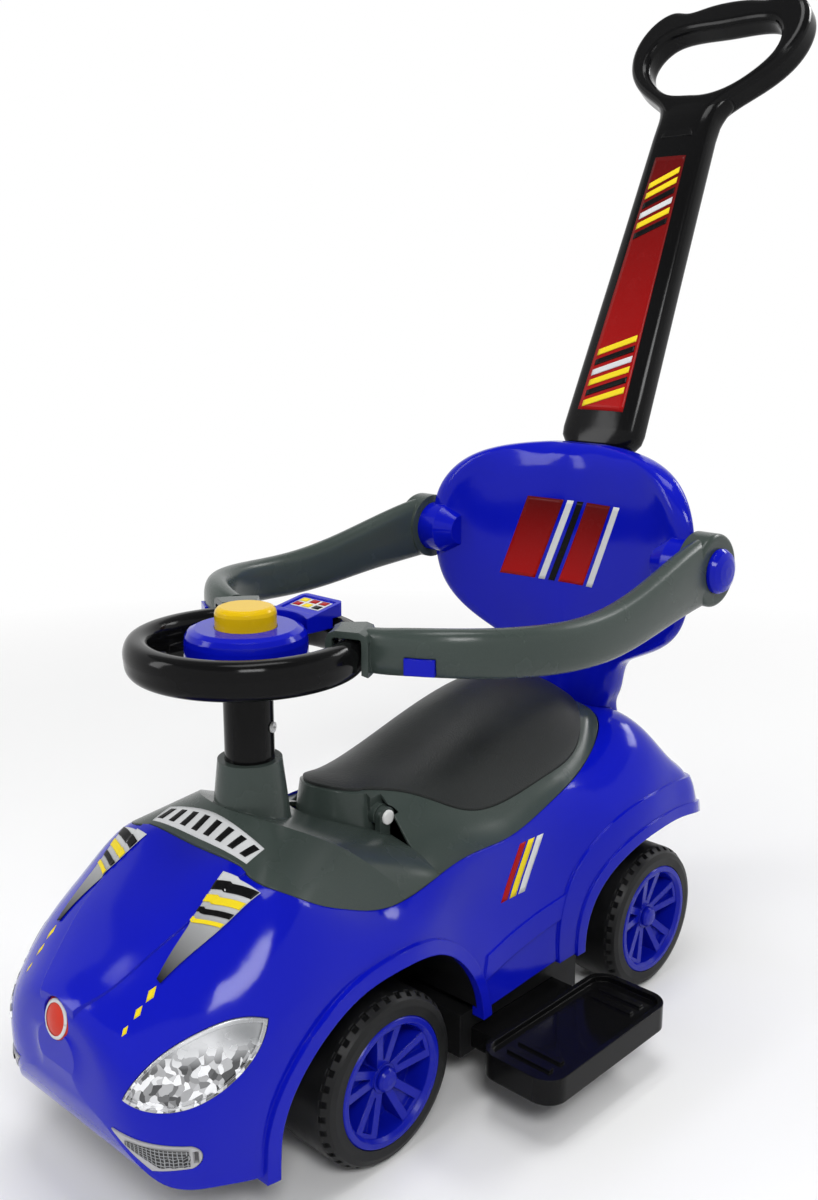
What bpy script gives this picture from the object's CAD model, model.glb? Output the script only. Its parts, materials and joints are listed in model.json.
# %% [markdown]
# # A ride-on push car
# The toy is a blue moulded car for a small child: a lift-up seat over a bin, a steering wheel with
# a horn, two grey guard arms, a backrest and a long black handle for the adult who pushes.
# The solids arrive ready made, each at its true place in metres. This lesson gives every solid its
# finish, adds the printed films and small mouldings, and lights the car for its portrait.

# %% Load the solids
import json
import math

import bpy
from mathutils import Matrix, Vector
from mathutils.bvhtree import BVHTree


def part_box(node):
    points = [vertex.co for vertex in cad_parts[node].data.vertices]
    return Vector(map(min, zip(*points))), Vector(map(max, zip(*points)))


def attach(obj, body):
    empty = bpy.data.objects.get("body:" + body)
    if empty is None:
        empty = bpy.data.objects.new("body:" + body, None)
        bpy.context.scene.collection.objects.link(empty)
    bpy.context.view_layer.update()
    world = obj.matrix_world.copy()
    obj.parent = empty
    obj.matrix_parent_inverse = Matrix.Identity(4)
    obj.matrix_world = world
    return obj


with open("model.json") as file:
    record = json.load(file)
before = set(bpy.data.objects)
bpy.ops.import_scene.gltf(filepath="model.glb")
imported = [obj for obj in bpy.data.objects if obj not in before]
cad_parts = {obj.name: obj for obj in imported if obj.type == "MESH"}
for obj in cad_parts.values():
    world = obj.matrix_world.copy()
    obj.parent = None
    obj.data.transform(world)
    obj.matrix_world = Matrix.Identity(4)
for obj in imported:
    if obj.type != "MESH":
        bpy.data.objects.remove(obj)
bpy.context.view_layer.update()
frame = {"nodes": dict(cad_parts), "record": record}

solids = frame["nodes"]

# %% [markdown]
# ## The camera
# The portrait is taken from the front left, a little above the bonnet. The distance and the lens
# were worked out from the wheels, the arms and the handle, so the camera stands at a fixed place.
# Its turn follows from the direction that it looks back along.

# %% Camera
PICTURE_HEIGHT = 1200.0
FOCAL_PIXELS = 1258.2
SENSOR = 36.0
EYE = Vector((0.6892, -0.7506, 0.6172))
AZIMUTH = math.radians(43.40)
ELEVATION = math.radians(13.32)


def make_camera():
    """Camera at the eye point, turned by the azimuth and elevation."""
    data = bpy.data.cameras.new("portrait_camera")
    data.sensor_width = SENSOR
    data.lens = SENSOR * FOCAL_PIXELS / PICTURE_HEIGHT
    camera = bpy.data.objects.new("portrait_camera", data)
    back = Vector((
        math.sin(AZIMUTH) * math.cos(ELEVATION),
        -math.cos(AZIMUTH) * math.cos(ELEVATION),
        math.sin(ELEVATION),
    ))
    camera.location = EYE
    camera.rotation_euler = back.to_track_quat("Z", "Y").to_euler()
    bpy.context.collection.objects.link(camera)
    bpy.context.scene.camera = camera
    return camera


camera = make_camera()
print("lens in mm:", round(camera.data.lens, 2))

# %% [markdown]
# ## Shader helpers
# A finish is a small graph of nodes. These helpers add one node with its inputs, and blend two
# colours, so that each finish below reads as a short recipe. An input may be a plain value or the
# output of an earlier node.


# %% Shader helpers
def add(tree, kind, inputs=None, **settings):
    """Add one shader node with its settings and inputs."""
    made = tree.nodes.new(kind)
    for key, value in settings.items():
        setattr(made, key, value)
    for key, value in (inputs or {}).items():
        if isinstance(value, bpy.types.NodeSocket):
            tree.links.new(value, made.inputs[key])
        else:
            made.inputs[key].default_value = value
    return made


def mix_colours(tree, factor, first, second):
    """Colour between two colours, where either may be an output."""
    mix = add(tree, "ShaderNodeMix", {0: factor}, data_type="RGBA")
    for index, colour in ((6, first), (7, second)):
        if isinstance(colour, bpy.types.NodeSocket):
            tree.links.new(colour, mix.inputs[index])
        else:
            mix.inputs[index].default_value = (*colour, 1.0)
    return mix.outputs[2]


def remap(tree, value, low, high, new_low, new_high):
    """Value moved from one span to another, held at the ends."""
    inputs = {"Value": value, "From Min": low, "From Max": high, "To Min": new_low, "To Max": new_high}
    return add(tree, "ShaderNodeMapRange", inputs).outputs["Result"]


def maths(tree, operation, first, second=0.0):
    """Result of one operation on two values."""
    return add(tree, "ShaderNodeMath", {0: first, 1: second}, operation=operation).outputs[0]


def new_finish(name):
    """New material with its node tree and its shader."""
    material = bpy.data.materials.new(name)
    material.use_nodes = True
    return material, material.node_tree, material.node_tree.nodes["Principled BSDF"]


def noise(tree, place, scale, detail=2.0):
    """Cloudy value between 0 and 1."""
    inputs = {"Vector": place, "Scale": scale, "Detail": detail}
    return add(tree, "ShaderNodeTexNoise", inputs).outputs["Fac"]


print("shader helpers ready")

# %% [markdown]
# ## Moulded plastic
# Nearly all of the car is injection-moulded or blow-moulded plastic. Up close it isn't one flat
# colour: the melt leaves slow changes of tone, the skin has a faint orange peel, and the edges are
# paler where hands and shoes rub. The Bevel node softens each sharp edge of the solids, and the
# angle between the softened and the true normal marks where the wear goes.

# %% Moulded plastic
EDGE_RADIUS = 0.0012
EDGE_SAMPLES = 4
EDGE_STARTS, EDGE_FULL = 0.95, 0.62
PEEL_DEPTH = 0.0004


def edge_mask(tree):
    """Softened normal, and how near an edge the point lies."""
    soft = add(tree, "ShaderNodeBevel", {"Radius": EDGE_RADIUS}, samples=EDGE_SAMPLES).outputs["Normal"]
    true = add(tree, "ShaderNodeNewGeometry").outputs["Normal"]
    dot = add(tree, "ShaderNodeVectorMath", {0: soft, 1: true}, operation="DOT_PRODUCT")
    return soft, remap(tree, dot.outputs["Value"], EDGE_STARTS, EDGE_FULL, 0.0, 1.0)


def moulded_plastic(name, colour, roughness, grain, grain_scale, wear=0.08, gloss=0.2, flake=0.0):
    """Plastic with slow changes of tone, orange peel, rubbed edges and, if asked for, metal flake."""
    material, tree, shader = new_finish(name)
    place = add(tree, "ShaderNodeTexCoord").outputs["Object"]
    soft, edge = edge_mask(tree)
    flow = noise(tree, place, 7.0, 3.0)
    dark = [c * 0.86 for c in colour]
    pale = [c * 1.12 + 0.004 for c in colour]
    tone = mix_colours(tree, flow, dark, pale)
    if flake > 0.0:
        speck = noise(tree, place, 2600.0, 1.0)
        bright = remap(tree, speck, 0.56, 0.72, 0.0, flake)
        tone = mix_colours(tree, bright, tone, [min(1.0, c * 2.4 + 0.1) for c in colour])
    scuffs = maths(tree, "MULTIPLY", edge, remap(tree, noise(tree, place, 90.0), 0.35, 0.75, 0.0, wear))
    worn = [c * 0.55 + 0.30 for c in colour]
    tree.links.new(mix_colours(tree, scuffs, tone, worn), shader.inputs["Base Color"])
    handled = noise(tree, place, 23.0, 4.0)
    sheen = remap(tree, handled, 0.3, 0.7, roughness * 0.82, roughness * 1.25)
    tree.links.new(sheen, shader.inputs["Roughness"])
    peel = noise(tree, place, grain_scale, 2.0)
    inputs = {"Height": peel, "Strength": grain, "Distance": PEEL_DEPTH, "Normal": soft}
    bump = add(tree, "ShaderNodeBump", inputs)
    tree.links.new(bump.outputs["Normal"], shader.inputs["Normal"])
    shader.inputs["Specular IOR Level"].default_value = gloss
    return material


ROYAL_BLUE = (0.0006, 0.0045, 0.42)
RIM_BLUE = (0.0010, 0.0060, 0.34)
GUNMETAL = (0.040, 0.054, 0.048)
BLACK = (0.0022, 0.0022, 0.0025)
DULL_BLACK = (0.006, 0.006, 0.0065)
HORN_YELLOW = (0.70, 0.45, 0.003)

finishes = {
    "body_blue": moulded_plastic("body_blue", ROYAL_BLUE, 0.11, 0.04, 160.0, wear=0.05, gloss=0.16),
    "rim_blue": moulded_plastic("rim_blue", RIM_BLUE, 0.22, 0.08, 420.0),
    "trim_grey": moulded_plastic("trim_grey", GUNMETAL, 0.24, 0.06, 500.0, wear=0.02, gloss=0.22, flake=0.12),
    "black_gloss": moulded_plastic("black_gloss", BLACK, 0.11, 0.05, 220.0, wear=0.05, gloss=0.11),
    "black_matte": moulded_plastic("black_matte", DULL_BLACK, 0.42, 0.30, 900.0, gloss=0.16),
    "horn_yellow": moulded_plastic("horn_yellow", HORN_YELLOW, 0.16, 0.06, 200.0, wear=0.03, gloss=0.1),
    "badge_red": moulded_plastic("badge_red", (0.56, 0.028, 0.010), 0.14, 0.04, 220.0),
    "white_plastic": moulded_plastic("white_plastic", (0.80, 0.80, 0.79), 0.26, 0.08, 300.0),
    "grille_dark": moulded_plastic("grille_dark", (0.42, 0.42, 0.43), 0.24, 0.10, 500.0, wear=0.6),
}
print("plastic finishes:", len(finishes))

# %% [markdown]
# ## Seat pad, tyres and metal
# The pad that the child sits on has a fine moulded leather grain: small cells with soft creases.
# The tyres are hard black plastic, dull on the tread and dusty in the grooves. Pins and rods are
# drawn steel, whose scratches run one way, so their noise is stretched along one axis.


# %% Seat pad, tyres and metal
def grained_pad(name, colour):
    """Leather grain of small cells with soft creases."""
    material, tree, shader = new_finish(name)
    place = add(tree, "ShaderNodeTexCoord").outputs["Object"]
    soft, edge = edge_mask(tree)
    cells = add(tree, "ShaderNodeTexVoronoi", {"Vector": place, "Scale": 620.0}, feature="F1")
    crease = remap(tree, cells.outputs["Distance"], 0.15, 0.75, 1.0, 0.0)
    cloud = noise(tree, place, 18.0, 4.0)
    tone = mix_colours(tree, cloud, [c * 0.75 for c in colour], [c * 1.35 for c in colour])
    polished = mix_colours(tree, maths(tree, "MULTIPLY", edge, 0.25), tone, (0.09, 0.10, 0.10))
    tree.links.new(polished, shader.inputs["Base Color"])
    tree.links.new(remap(tree, cloud, 0.3, 0.7, 0.38, 0.52), shader.inputs["Roughness"])
    inputs = {"Height": crease, "Strength": 0.22, "Distance": 0.0004, "Normal": soft}
    bump = add(tree, "ShaderNodeBump", inputs)
    tree.links.new(bump.outputs["Normal"], shader.inputs["Normal"])
    shader.inputs["Specular IOR Level"].default_value = 0.25
    return material


def dusty_tyre(name):
    """Dull black with dust in the hollows and rubbed edges."""
    material, tree, shader = new_finish(name)
    place = add(tree, "ShaderNodeTexCoord").outputs["Object"]
    soft, edge = edge_mask(tree)
    dust = remap(tree, noise(tree, place, 34.0, 5.0), 0.45, 0.75, 0.0, 0.45)
    tone = mix_colours(tree, dust, (0.0055, 0.0058, 0.0062), (0.020, 0.020, 0.020))
    rubbed = mix_colours(tree, maths(tree, "MULTIPLY", edge, 0.35), tone, (0.045, 0.046, 0.048))
    tree.links.new(rubbed, shader.inputs["Base Color"])
    tree.links.new(remap(tree, dust, 0.0, 0.45, 0.42, 0.62), shader.inputs["Roughness"])
    pores = noise(tree, place, 1100.0, 2.0)
    inputs = {"Height": pores, "Strength": 0.25, "Distance": 0.0003, "Normal": soft}
    bump = add(tree, "ShaderNodeBump", inputs)
    tree.links.new(bump.outputs["Normal"], shader.inputs["Normal"])
    shader.inputs["Specular IOR Level"].default_value = 0.22
    return material


def drawn_steel(name):
    """Steel with scratches along X."""
    material, tree, shader = new_finish(name)
    place = add(tree, "ShaderNodeTexCoord").outputs["Object"]
    drawn = add(tree, "ShaderNodeMapping", {"Vector": place, "Scale": (60.0, 900.0, 900.0)})
    lines = noise(tree, drawn.outputs["Vector"], 1.0, 2.0)
    tone = mix_colours(tree, lines, (0.42, 0.42, 0.43), (0.66, 0.66, 0.67))
    tree.links.new(tone, shader.inputs["Base Color"])
    tree.links.new(remap(tree, lines, 0.2, 0.8, 0.22, 0.40), shader.inputs["Roughness"])
    shader.inputs["Metallic"].default_value = 1.0
    return material


finishes["seat_dark"] = grained_pad("seat_dark", (0.017, 0.019, 0.0185))
finishes["tyre_black"] = dusty_tyre("tyre_black")
finishes["steel"] = drawn_steel("steel")
print("finishes so far:", len(finishes))

# %% [markdown]
# ## Lamps and the parts of the sound box
# The headlamps of such toys are bright silver with a pattern of cut facets behind a clear skin.
# Voronoi cells give each facet its own grey, and a clear coat stands for the skin. The cells, the
# board and the loudspeaker sit inside the horn housing and only show when it is opened.

# %% Lamps and the parts of the sound box
FACET_SCALE = 210.0
FACET_BEND = 0.012
BOWL_STARTS, BOWL_FULL = 0.50, 0.72


def faceted_lamp(name):
    """Bright facets below and a smooth reflector bowl above, under a clear coat."""
    material, tree, shader = new_finish(name)
    place = add(tree, "ShaderNodeTexCoord").outputs["Object"]
    soft, edge = edge_mask(tree)
    bent = noise(tree, place, 60.0, 2.0)
    pulled = add(tree, "ShaderNodeVectorMath", {0: place, 1: (1.0, 1.0, 1.0)}, operation="MULTIPLY_ADD")
    tree.links.new(maths(tree, "MULTIPLY", bent, FACET_BEND), pulled.inputs[2])
    inputs = {"Vector": pulled.outputs["Vector"], "Scale": FACET_SCALE}
    facets = add(tree, "ShaderNodeTexVoronoi", inputs, feature="F1")
    grey = add(tree, "ShaderNodeSeparateColor", {"Color": facets.outputs["Color"]}).outputs["Red"]
    cut = mix_colours(tree, remap(tree, grey, 0.15, 0.85, 0.0, 1.0), (0.045, 0.047, 0.05), (0.93, 0.94, 0.96))
    sweep = remap(tree, noise(tree, place, 26.0, 1.0), 0.38, 0.62, 0.0, 1.0)
    bowl = mix_colours(tree, sweep, (0.25, 0.26, 0.27), (0.78, 0.79, 0.81))
    height = add(tree, "ShaderNodeSeparateXYZ", {"Vector": place}).outputs["Z"]
    low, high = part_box("headlamp_left")
    span = high.z - low.z
    upper = remap(tree, height, low.z + BOWL_STARTS * span, low.z + BOWL_FULL * span, 0.0, 1.0)
    silver = mix_colours(tree, upper, cut, bowl)
    rimmed = mix_colours(tree, edge, silver, (0.85, 0.86, 0.88))
    tree.links.new(rimmed, shader.inputs["Base Color"])
    tree.links.new(remap(tree, grey, 0.0, 1.0, 0.12, 0.30), shader.inputs["Roughness"])
    inputs = {"Height": grey, "Strength": 0.45, "Distance": 0.0008, "Normal": soft}
    bump = add(tree, "ShaderNodeBump", inputs)
    tree.links.new(bump.outputs["Normal"], shader.inputs["Normal"])
    shader.inputs["Metallic"].default_value = 0.55
    shader.inputs["Coat Weight"].default_value = 1.0
    shader.inputs["Coat Roughness"].default_value = 0.04
    return material


def banded_finish(name, axis, period, first, second, metallic):
    """Two tones in bands along one axis, for cell wrappers, coils and cones."""
    material, tree, shader = new_finish(name)
    place = add(tree, "ShaderNodeTexCoord").outputs["Object"]
    along = add(tree, "ShaderNodeSeparateXYZ", {"Vector": place}).outputs[axis]
    band = maths(tree, "PINGPONG", along, period)
    step = remap(tree, band, period * 0.45, period * 0.55, 0.0, 1.0)
    tree.links.new(mix_colours(tree, step, first, second), shader.inputs["Base Color"])
    tree.links.new(remap(tree, noise(tree, place, 120.0), 0.3, 0.7, 0.25, 0.42), shader.inputs["Roughness"])
    shader.inputs["Metallic"].default_value = metallic
    return material


finishes["lamp_silver"] = faceted_lamp("lamp_silver")
COPPER, SOOT = (0.45, 0.24, 0.06), (0.02, 0.02, 0.022)
finishes["cell_metal"] = banded_finish("cell_metal", "X", 0.019, COPPER, SOOT, 0.6)
LEAF, MOSS = (0.014, 0.12, 0.04), (0.010, 0.085, 0.03)
finishes["board_green"] = banded_finish("board_green", "X", 0.004, MOSS, LEAF, 0.0)
finishes["speaker_dark"] = banded_finish("speaker_dark", "Y", 0.003, SOOT, (0.05, 0.05, 0.05), 0.0)

for part in frame["record"]["subparts"]:
    node = solids[part["node"]]
    node.data.materials.clear()
    node.data.materials.append(finishes[part["material_slot"]])

# %% [markdown]
# ## Printed films
# The toy is decorated with thin printed films. A film follows the curved plastic beneath it, so it
# is made as a flat grid that is dropped on the solid along one direction: each point of the grid
# stops where its ray meets the surface. Where a film bridges a step or a slot, each point takes the
# nearest of several rays round it. A Solidify modifier then gives the film its thickness.

# %% Printed films
FILM = 0.00025
carriers = dict(solids)
trees = {}


def surface(node):
    """Search tree of a solid, made once for each."""
    if node not in trees:
        mesh = carriers[node].data
        corners = [v.co for v in mesh.vertices]
        trees[node] = BVHTree.FromPolygons(corners, [p.vertices for p in mesh.polygons])
    return trees[node]


def drop(node, start, along, reach):
    """Point where a ray meets a solid, or where the nearest of the rays round it does."""
    side = along.orthogonal().normalized() * reach
    around = [Vector((0.0, 0.0, 0.0))]
    if reach > 0.0:
        around += [side, -side, side.cross(along), -side.cross(along)]
    hits = [surface(node).ray_cast(start + shift, along) for shift in around]
    depths = [distance for spot, normal, index, distance in hits if spot is not None]
    if not depths:
        raise ValueError("a film misses " + node)
    return start + along * min(depths)


def film(name, node, body, place, along, finish, columns=10, rows=10, layer=1, reach=0.0):
    """Thin film on a solid; place gives the start of the ray for u and v from 0 to 1."""
    along = Vector(along).normalized()
    lift = FILM * (1.7 * layer - 0.7)
    corners = []
    for j in range(rows + 1):
        for i in range(columns + 1):
            start = Vector(place(i / columns, j / rows))
            corners.append(drop(node, start, along, reach) - along * lift)
    width = columns + 1
    faces = []
    for j in range(rows):
        for i in range(columns):
            first = j * width + i
            faces.append((first, first + 1, first + 1 + width, first + width))
    mesh = bpy.data.meshes.new(name)
    mesh.from_pydata(corners, [], faces)
    across = mesh.polygons[0].normal
    if across.dot(along) > 0.0:
        mesh.flip_normals()
    layer_uv = mesh.uv_layers.new(name="film")
    for loop in mesh.loops:
        j, i = divmod(loop.vertex_index, width)
        layer_uv.data[loop.index].uv = (i / columns, j / rows)
    mesh.shade_smooth()
    mesh.materials.append(finish)
    piece = bpy.data.objects.new(name, mesh)
    bpy.context.collection.objects.link(piece)
    thick = piece.modifiers.new("thickness", "SOLIDIFY")
    thick.thickness = FILM
    thick.offset = -1.0
    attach(piece, body)
    return piece


def vinyl(name, colour, second=None, roughness=0.22):
    """Printed vinyl: one tone, or a fade from one tone to another along the film."""
    material, tree, shader = new_finish(name)
    coordinates = add(tree, "ShaderNodeTexCoord")
    ink = noise(tree, coordinates.outputs["Object"], 700.0, 2.0)
    tone = colour
    if second is not None:
        along = add(tree, "ShaderNodeSeparateXYZ", {"Vector": coordinates.outputs["UV"]}).outputs["Y"]
        tone = mix_colours(tree, along, colour, second)
    speckled = mix_colours(tree, remap(tree, ink, 0.45, 0.70, 0.0, 0.02), tone, (0.20, 0.20, 0.20))
    tree.links.new(speckled, shader.inputs["Base Color"])
    cloud = noise(tree, coordinates.outputs["Object"], 60.0, 2.0)
    matt = remap(tree, cloud, 0.3, 0.7, roughness * 0.8, roughness * 1.3)
    tree.links.new(matt, shader.inputs["Roughness"])
    shader.inputs["Specular IOR Level"].default_value = 0.06
    return material


SILVER = (0.62, 0.63, 0.64)
YELLOW = (0.80, 0.62, 0.02)
RED = (0.36, 0.006, 0.006)
INK = (0.005, 0.005, 0.0055)
inks = {
    "silver": vinyl("ink_silver", SILVER),
    "yellow": vinyl("ink_yellow", YELLOW),
    "red": vinyl("ink_red", RED),
    "black": vinyl("ink_black", INK),
    "fade": vinyl("ink_fade", SILVER, INK),
    "red_fade": vinyl("ink_red_fade", RED, (0.10, 0.004, 0.004)),
}
print("inks:", len(inks))

# %% [markdown]
# ## Bonnet films
# Two tapered films run down the bonnet, one on each side. A strip is a function of u across and v
# along; bars on it are the same function over a smaller span, slanted by a little shift. Each set of
# values starts above the car, because the films are dropped on it from there.

# %% Bonnet films
ABOVE = 0.5
STRIP_INNER = (Vector((0.0450, -0.256, ABOVE)), Vector((0.0585, -0.324, ABOVE)))
STRIP_OUTER = (Vector((0.0800, -0.252, ABOVE)), Vector((0.0625, -0.324, ABOVE)))
STUDS = (Vector((0.0605, -0.330, ABOVE)), Vector((0.0585, -0.350, ABOVE)))
STUD_COUNT = 3
STUD_SIZE, STUD_SHRINK, STUD_LENGTH = 0.0026, 0.0005, 1.7
BAR_SLANT = 0.10


def between(first, second, share):
    """Value or point part of the way from the first to the second."""
    return first + (second - first) * share


def strip(side, u, v):
    """Point above the tapered strip on one side of the bonnet."""
    point = between(between(*STRIP_INNER, v), between(*STRIP_OUTER, v), u)
    return (point.x * side, point.y, point.z)


def strip_bar(side, start, length):
    """Function for one slanted bar on the strip."""
    def place(u, v):
        return strip(side, u, start + length * v + BAR_SLANT * (0.5 - u))
    return place


DOWN = (0, 0, -1)
STEP_REACH = 0.0015
BONNET_BARS = (
    ("a", "black", 0.06, 0.09), ("b", "yellow", 0.20, 0.07),
    ("c", "black", 0.32, 0.05), ("d", "yellow", 0.42, 0.04),
)
for side, word in ((1, "left"), (-1, "right")):
    def whole(u, v):
        return strip(side, u, v)

    name = "bonnet_strip_" + word
    film(name, "body_shell", "chassis", whole, DOWN, inks["fade"], 20, 48, reach=STEP_REACH)
    for key, ink, start, length in BONNET_BARS:
        place = strip_bar(side, start, length)
        name = "bonnet_bar_" + key + "_" + word
        film(name, "body_shell", "chassis", place, DOWN, inks[ink], 20, 6, layer=3, reach=STEP_REACH)
    for k in range(STUD_COUNT):
        centre = between(*STUDS, k / (STUD_COUNT - 1.0))
        size = STUD_SIZE - STUD_SHRINK * k

        def diamond(u, v):
            x = centre.x + (u - v) * size
            return (x * side, centre.y + (u + v - 1.0) * size * STUD_LENGTH, centre.z)

        film("bonnet_stud_%d_%s" % (k, word), "body_shell", "chassis", diamond, DOWN, inks["yellow"], 3, 3)
print("bonnet films laid")

# %% [markdown]
# ## Windscreen, sides and backrest
# The grey cowl carries a silver plate with a hatch of slanted bars. Each side has three slanted bars,
# and the backrest has a row of wide and narrow ones. They are plain stripes, so each is one function
# of u across and v up.

# %% Windscreen, sides and backrest
PLATE_HALF, PLATE_LOW, PLATE_HIGH = 0.055, -0.2435, -0.2270


def plate(u, v):
    """Point above the plate on the cowl."""
    return ((2.0 * u - 1.0) * PLATE_HALF, between(PLATE_LOW, PLATE_HIGH, v), ABOVE)


film("windscreen_plate", "cowl", "chassis", plate, DOWN, inks["silver"], 32, 8)
HATCH = 8
for k in range(HATCH):
    def hatch(u, v):
        return plate((k + 0.30 + 0.45 * u + 0.25 * (v - 0.5)) / HATCH, 0.18 + 0.64 * v)

    film("windscreen_hatch_%d" % k, "cowl", "chassis", hatch, DOWN, inks["black"], 4, 8, layer=2)

BESIDE = 0.3
SLASH_Y, SLASH_Z, SLASH_PITCH = -0.024, 0.146, 0.011
SLASH_WIDE, SLASH_LEAN, SLASH_HIGH = 0.008, 0.030, 0.040

for side, word in ((1, "left"), (-1, "right")):
    for k, ink in enumerate(("red", "yellow", "silver")):
        def slash(u, v):
            y = SLASH_Y + SLASH_PITCH * k + SLASH_WIDE * u + SLASH_LEAN * v
            return (BESIDE * side, y, SLASH_Z + SLASH_HIGH * v)

        name = "side_slash_%d_%s" % (k, word)
        film(name, "body_shell", "chassis", slash, (-side, 0, 0), inks[ink], 3, 10)

BACK = (0, 1, 0)
BACK_Z, BACK_HIGH, BACK_LEAN = 0.400, 0.078, 0.030
# Each bar on the backrest: ink, left edge and width.
BACK_BARS = (
    ("red_fade", -0.056, 0.040), ("silver", -0.012, 0.007), ("black", -0.001, 0.007),
    ("red_fade", 0.010, 0.028), ("silver", 0.042, 0.007),
)
for k, (ink, left, width) in enumerate(BACK_BARS):
    def back_bar(u, v):
        return (left + width * u + BACK_LEAN * (v - 0.5), 0.0, BACK_Z + BACK_HIGH * (v - 0.5))

    film("backrest_bar_%d" % k, "backrest_front", "chassis", back_bar, BACK, inks[ink], 12, 20)
print("windscreen, side and backrest films laid")

# %% [markdown]
# ## Handle casing
# The bar of the handle wears a wide, flat casing that flares out of the backrest and narrows to
# the neck of the hand loop. It is a skin over rounded sections, each set square to the bar. The
# last sections bend and widen with the loop and sink into it, so that no edge shows there.

# %% Handle casing
HANDLE_LEAN = math.radians(23.5)
LOOP_LEAN = math.radians(33.0)
HANDLE_FOOT = Vector((0.0, 0.239, 0.479))
HANDLE_LENGTH = 0.324
HANDLE_UP = Vector((0.0, math.sin(HANDLE_LEAN), math.cos(HANDLE_LEAN)))
HANDLE_BACK = Vector((0.0, math.cos(HANDLE_LEAN), -math.sin(HANDLE_LEAN)))
LOOP_UP = Vector((0.0, math.sin(LOOP_LEAN), math.cos(LOOP_LEAN)))
LOOP_BACK = Vector((0.0, math.cos(LOOP_LEAN), -math.sin(LOOP_LEAN)))
# Each section of the casing: distance along the bar, width and thickness.
CASING = (
    (0.0010, 0.0630, 0.0262), (0.0060, 0.0740, 0.0285), (0.0120, 0.0830, 0.0305), (0.0200, 0.0855, 0.0310),
    (0.0900, 0.0800, 0.0308), (0.1700, 0.0735, 0.0304), (0.2500, 0.0675, 0.0302), (0.3150, 0.0630, 0.0298),
)
CASING_END = (
    (0.0080, 0.0632, 0.0292), (0.0140, 0.0655, 0.0284), (0.0200, 0.0695, 0.0277),
    (0.0260, 0.0760, 0.0266), (0.0310, 0.0826, 0.0250),
)
ROUND_STEPS = 40
SIDE_POWER, FACE_POWER = 0.5, 0.62


def casing_ring(centre, back, width, thickness):
    """Rounded section of the casing."""
    ring = []
    for i in range(ROUND_STEPS):
        turn = 2.0 * math.pi * i / ROUND_STEPS
        c, s = math.cos(turn), math.sin(turn)
        across = math.copysign(abs(c) ** SIDE_POWER, c) * width / 2.0
        depth = math.copysign(abs(s) ** FACE_POWER, s) * thickness / 2.0
        ring.append(centre + Vector((across, 0.0, 0.0)) + back * depth)
    return ring


def skin_mesh(name, rings):
    """Closed mesh over rings of equal count."""
    count = len(rings[0])
    corners = [point for ring in rings for point in ring]
    faces = []
    for j in range(len(rings) - 1):
        for i in range(count):
            after = (i + 1) % count
            faces.append((j * count + i, j * count + after, (j + 1) * count + after, (j + 1) * count + i))
    faces.append(tuple(range(count))[::-1])
    faces.append(tuple(range(len(corners) - count, len(corners))))
    mesh = bpy.data.meshes.new(name)
    mesh.from_pydata(corners, [], faces)
    mesh.shade_smooth()
    return mesh


def make_casing():
    rings = [casing_ring(HANDLE_FOOT + HANDLE_UP * s, HANDLE_BACK, w, t) for s, w, t in CASING]
    neck = HANDLE_FOOT + HANDLE_UP * HANDLE_LENGTH
    rings += [casing_ring(neck + LOOP_UP * s, LOOP_BACK, w, t) for s, w, t in CASING_END]
    piece = bpy.data.objects.new("handle_casing", skin_mesh("handle_casing", rings))
    piece.data.materials.append(finishes["black_gloss"])
    bpy.context.collection.objects.link(piece)
    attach(piece, "push_handle")
    return piece


casing = make_casing()
carriers["handle_casing"] = casing
print("casing corners:", len(casing.data.vertices))

# %% [markdown]
# ## Handle strip and dash label
# A red strip runs up the front of the casing, with slanted bars at both ends. The handle leans
# back, so the rays run square to its face. The small dash panel has a label with rows of tiles,
# like the play controls that such a toy shows.

# %% Handle strip and dash label
STRIP_LOW, STRIP_HIGH, STRIP_HALF, STRIP_TAPER = 0.036, 0.292, 0.0255, 0.34
IN_FRONT = 0.1
HANDLE_BAR_INSET, HANDLE_BAR_LENGTH, HANDLE_BAR_SLANT = 0.08, 0.024, 0.060


def handle_spot(u, v):
    """Point in front of the strip on the casing."""
    centre = HANDLE_FOOT + HANDLE_UP * between(STRIP_LOW, STRIP_HIGH, v) - HANDLE_BACK * IN_FRONT
    return centre + Vector(((2.0 * u - 1.0) * STRIP_HALF * (1.0 - STRIP_TAPER * v), 0.0, 0.0))


film("handle_strip", "handle_casing", "push_handle", handle_spot, HANDLE_BACK, inks["red_fade"], 10, 48)
HANDLE_BARS = (
    (0.04, "yellow"), (0.08, "black"), (0.12, "yellow"), (0.16, "silver"), (0.20, "black"), (0.24, "yellow"),
    (0.70, "black"), (0.74, "yellow"), (0.78, "silver"), (0.82, "black"), (0.86, "yellow"), (0.90, "yellow"),
)
for k, (start, ink) in enumerate(HANDLE_BARS):
    def handle_bar(u, v):
        along = start + HANDLE_BAR_LENGTH * v + HANDLE_BAR_SLANT * (u - 0.5)
        return handle_spot(between(HANDLE_BAR_INSET, 1.0 - HANDLE_BAR_INSET, u), along)

    name = "handle_bar_%d" % k
    film(name, "handle_casing", "push_handle", handle_bar, HANDLE_BACK, inks[ink], 10, 4, layer=2)

dash_low, dash_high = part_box("dash_panel")
LABEL_SHARE, LABEL_FRONT, LABEL_BACK = 0.72, 0.016, 0.006
TILE_MARGIN = 0.15


def dash_spot(u, v):
    """Point above the label on the dash panel."""
    x = between(dash_low.x * LABEL_SHARE, dash_high.x * LABEL_SHARE, u)
    return (x, between(dash_low.y + LABEL_FRONT, dash_high.y - LABEL_BACK, v), ABOVE)


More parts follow.
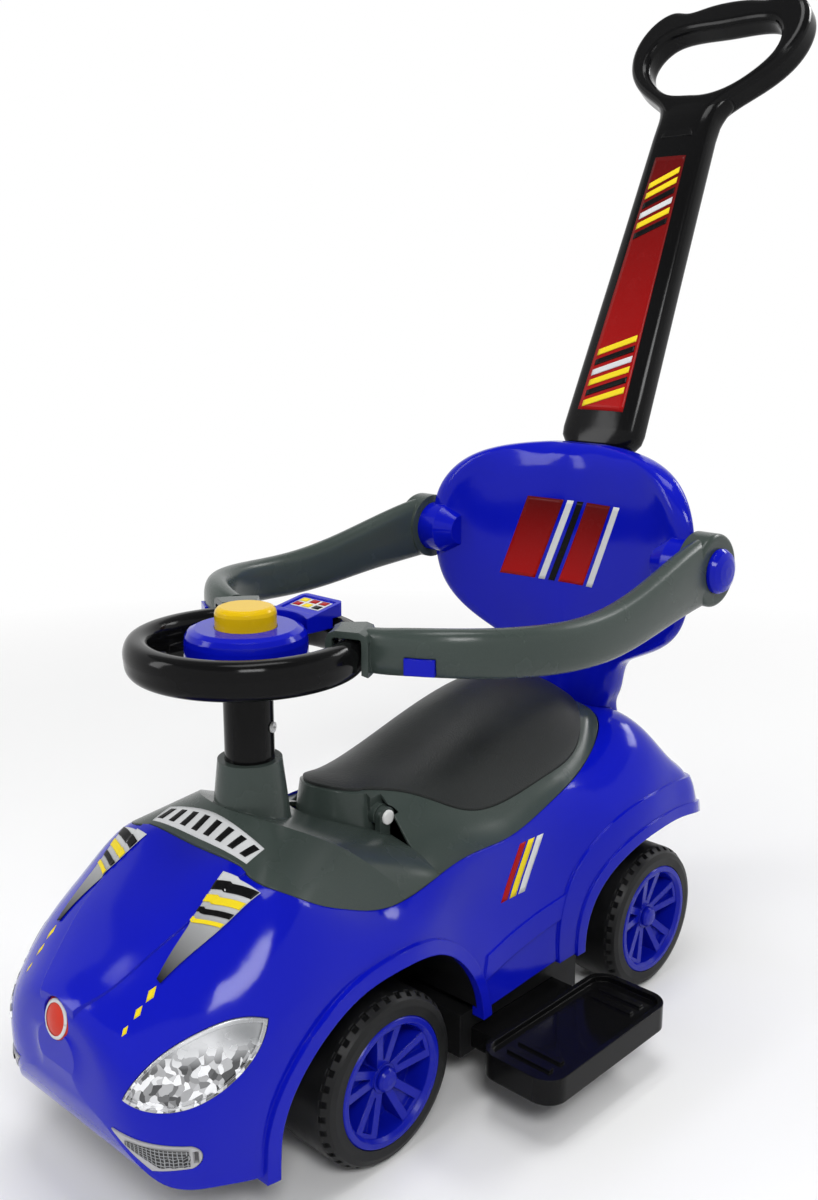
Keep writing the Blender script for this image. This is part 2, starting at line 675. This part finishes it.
film("dash_label", "dash_panel", "steering", dash_spot, DOWN, inks["silver"], 8, 8)
tiles = (("red", 0, 0), ("yellow", 1, 0), ("black", 2, 0), ("yellow", 0, 1), ("red", 1, 1), ("red", 2, 1))
for ink, column, row in tiles:
    def tile(u, v):
        a = between(TILE_MARGIN, 1.0 - TILE_MARGIN, u)
        b = between(TILE_MARGIN, 1.0 - TILE_MARGIN, v)
        return dash_spot((column + a) / 3.0, (row + b) / 2.0)

    film("dash_tile_%d_%d" % (column, row), "dash_panel", "steering", tile, DOWN, inks[ink], 3, 3, layer=2)
print("handle and dash films laid")

# %% [markdown]
# ## Grille mesh, badge ring and grip ribs
# Small mouldings finish the front and the wheel. A dark mesh lies over each grille plate and leaves
# a silver border round it. The bare badge gets a bright ring, and the side spokes of the steering
# wheel get rows of low ribs for the thumbs.


# %% Grille mesh, badge ring and grip ribs
def wire_mesh(name, columns, rows):
    """Dark film with a fine lattice of pale wires."""
    material, tree, shader = new_finish(name)
    coordinates = add(tree, "ShaderNodeTexCoord")
    uv = add(tree, "ShaderNodeSeparateXYZ", {"Vector": coordinates.outputs["UV"]}).outputs
    wires = []
    for axis, count in (("X", columns), ("Y", rows)):
        wave = maths(tree, "PINGPONG", maths(tree, "MULTIPLY", uv[axis], count * 2.0), 1.0)
        wires.append(remap(tree, wave, 0.72, 0.86, 0.0, 1.0))
    lattice = maths(tree, "MAXIMUM", wires[0], wires[1])
    tree.links.new(mix_colours(tree, lattice, INK, (0.30, 0.31, 0.32)), shader.inputs["Base Color"])
    grime = noise(tree, coordinates.outputs["Object"], 300.0, 2.0)
    tree.links.new(remap(tree, grime, 0.3, 0.7, 0.28, 0.45), shader.inputs["Roughness"])
    bump = add(tree, "ShaderNodeBump", {"Height": lattice, "Strength": 0.4, "Distance": 0.0004})
    tree.links.new(bump.outputs["Normal"], shader.inputs["Normal"])
    return material


inks["mesh"] = wire_mesh("grille_mesh", 15.0, 5.0)
GRILLE_HEADING = math.radians(30.0)
GRILLE_NEAR = 0.5
GRILLE_REACH = 0.0035
MESH_ENDS = (-0.1210, -0.0795)
MESH_TOP = (0.0915, 0.0855)
MESH_LOW = (0.0885, 0.0735)
MESH_BEND = 0.55

for side, word in ((1, "left"), (-1, "right")):
    out = Vector((math.sin(GRILLE_HEADING) * side, -math.cos(GRILLE_HEADING), 0.0))
    level = Vector((math.cos(GRILLE_HEADING) * side, math.sin(GRILLE_HEADING), 0.0))

    def grille_spot(u, v):
        low = between(*MESH_LOW, min(1.0, u / MESH_BEND))
        height = between(low, between(*MESH_TOP, u), v)
        return level * between(*MESH_ENDS, u) + out * GRILLE_NEAR + Vector((0.0, 0.0, height))

    plate_node = "fog_grille_" + word
    name = "grille_mesh_" + word
    film(name, plate_node, "chassis", grille_spot, -out, inks["mesh"], 24, 8, reach=GRILLE_REACH)


badge_low, badge_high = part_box("nose_badge")
BADGE_Z = (badge_low.z + badge_high.z) / 2.0
BADGE_RING = (0.0108, 0.0132)
AHEAD = -0.5


def ring_band(u, v):
    """Flat band round the badge, as u goes round and v goes across."""
    turn = 2.0 * math.pi * u
    radius = between(*BADGE_RING, v)
    return Vector((radius * math.cos(turn), AHEAD, BADGE_Z + radius * math.sin(turn)))


film("badge_ring", "nose_badge", "chassis", ring_band, (0, 1, 0), inks["silver"], 40, 2, layer=2)


COLUMN_Y = -0.193
SPOKE_TOP = 0.367
RIB_COUNT = 4
RIB_FIRST = 0.0475
RIB_PITCH = 0.0030
RIB_HALF, RIB_GROWTH = 0.0105, 0.0012
RIB_SECTION = ((-0.0011, -0.0005), (-0.0006, 0.0011), (0.0006, 0.0011), (0.0011, -0.0005))
RIB_INSET = 0.0008


def make_ribs(name, side):
    """Row of low ribs on one side spoke of the steering wheel."""
    corners = []
    faces = []
    for k in range(RIB_COUNT):
        x = side * (RIB_FIRST + RIB_PITCH * k)
        half = RIB_HALF + RIB_GROWTH * k
        base = len(corners)
        for dx, dz in RIB_SECTION:
            inset = RIB_INSET if dz > 0.0 else 0.0
            corners.append((x + dx, COLUMN_Y - half + inset, SPOKE_TOP + dz))
            corners.append((x + dx, COLUMN_Y + half - inset, SPOKE_TOP + dz))
        for i in range(3):
            a = base + 2 * i
            faces.append((a, a + 2, a + 3, a + 1))
        faces.append((base + 6, base + 4, base + 2, base))
        faces.append((base + 1, base + 3, base + 5, base + 7))
        faces.append((base, base + 1, base + 7, base + 6))
    mesh = bpy.data.meshes.new(name)
    mesh.from_pydata(corners, [], faces)
    mesh.materials.append(finishes["black_gloss"])
    piece = bpy.data.objects.new(name, mesh)
    bpy.context.collection.objects.link(piece)
    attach(piece, "steering")


make_ribs("grip_ribs_left", 1)
make_ribs("grip_ribs_right", -1)
print("grille mesh, badge ring and ribs made")

# %% [markdown]
# ## Floor, backdrop and light
# The car stands in a round white bowl, so that every side has the same plain ground. Four large
# area lamps give soft light with long highlights on the gloss plastic. The lamps are set so that a
# colour renders about as it is written.

# %% Floor, backdrop and light
BOWL_RADIUS = 5.0
BOWL_CURVE = 1.5
BOWL_HEIGHT = 5.0
BOWL_STEPS = 64
CURVE_STEPS = 8
PAPER = (0.88, 0.88, 0.88, 1.0)


def make_bowl():
    """Round floor that curves up into a wall."""
    profile = [(0.0, 0.0), (BOWL_RADIUS * 0.5, 0.0)]
    for i in range(CURVE_STEPS + 1):
        turn = math.radians(90.0 * i / CURVE_STEPS)
        reach = BOWL_RADIUS + BOWL_CURVE * math.sin(turn)
        profile.append((reach, BOWL_CURVE * (1.0 - math.cos(turn))))
    profile.append((BOWL_RADIUS + BOWL_CURVE, BOWL_HEIGHT))
    corners = []
    for k in range(BOWL_STEPS):
        turn = 2.0 * math.pi * k / BOWL_STEPS
        corners += [(r * math.cos(turn), r * math.sin(turn), z) for r, z in profile]
    count = len(profile)
    faces = []
    for k in range(BOWL_STEPS):
        here = k * count
        there = (k + 1) % BOWL_STEPS * count
        faces += [(here + i, there + i, there + i + 1, here + i + 1) for i in range(count - 1)]
    mesh = bpy.data.meshes.new("studio_bowl")
    mesh.from_pydata(corners, [], faces)
    mesh.shade_smooth()
    bowl = bpy.data.objects.new("studio_bowl", mesh)
    bpy.context.collection.objects.link(bowl)
    return bowl


SHADOW_REACH = 0.7
WHITE_FROM = 1.7


def bowl_finish():
    """Pale paper near the car, which keeps its shadow, and plain white further out."""
    material, tree, shader = new_finish("studio_paper")
    shader.inputs["Base Color"].default_value = PAPER
    shader.inputs["Roughness"].default_value = 0.9
    place = add(tree, "ShaderNodeTexCoord").outputs["Object"]
    reach = add(tree, "ShaderNodeVectorMath", {0: place}, operation="LENGTH").outputs["Value"]
    path = add(tree, "ShaderNodeLightPath").outputs
    seen = maths(tree, "MAXIMUM", path["Is Camera Ray"], path["Is Glossy Ray"])
    seen = maths(tree, "MAXIMUM", seen, path["Is Transmission Ray"])
    far = maths(tree, "MULTIPLY", seen, remap(tree, reach, SHADOW_REACH, WHITE_FROM, 0.0, 1.0))
    white = add(tree, "ShaderNodeEmission", {"Strength": 1.0})
    mix = add(tree, "ShaderNodeMixShader", {0: far, 1: shader.outputs["BSDF"], 2: white.outputs["Emission"]})
    tree.links.new(mix.outputs["Shader"], tree.nodes["Material Output"].inputs["Surface"])
    return material


bowl = make_bowl()
bowl.data.materials.append(bowl_finish())


def make_lamp(name, location, target, size, power):
    """Rectangular area lamp turned towards a target."""
    data = bpy.data.lights.new(name, "AREA")
    data.shape = "RECTANGLE"
    data.size, data.size_y = size
    data.energy = power
    lamp = bpy.data.objects.new(name, data)
    lamp.location = location
    lamp.rotation_euler = (Vector(location) - Vector(target)).to_track_quat("Z", "Y").to_euler()
    bpy.context.collection.objects.link(lamp)


MIDDLE = (0.0, 0.0, 0.4)
make_lamp("key_lamp", (1.9, -1.5, 2.3), MIDDLE, (1.0, 0.7), 44.0)
make_lamp("fill_lamp", (-1.6, -2.0, 1.5), MIDDLE, (0.6, 1.4), 18.0)
make_lamp("back_lamp", (0.6, 2.4, 2.0), MIDDLE, (1.4, 0.5), 24.0)
make_lamp("top_lamp", (0.0, 0.0, 2.9), MIDDLE, (0.9, 1.4), 28.0)


WORLD_LIGHT = 0.35


def make_world():
    """Even white light from all round."""
    world = bpy.data.worlds.new("studio_world")
    world.use_nodes = True
    light = world.node_tree.nodes["Background"]
    light.inputs["Color"].default_value = (1.0, 1.0, 1.0, 1.0)
    light.inputs["Strength"].default_value = WORLD_LIGHT
    bpy.context.scene.world = world


make_world()
bpy.context.scene.view_settings.view_transform = "Standard"
print("studio ready")
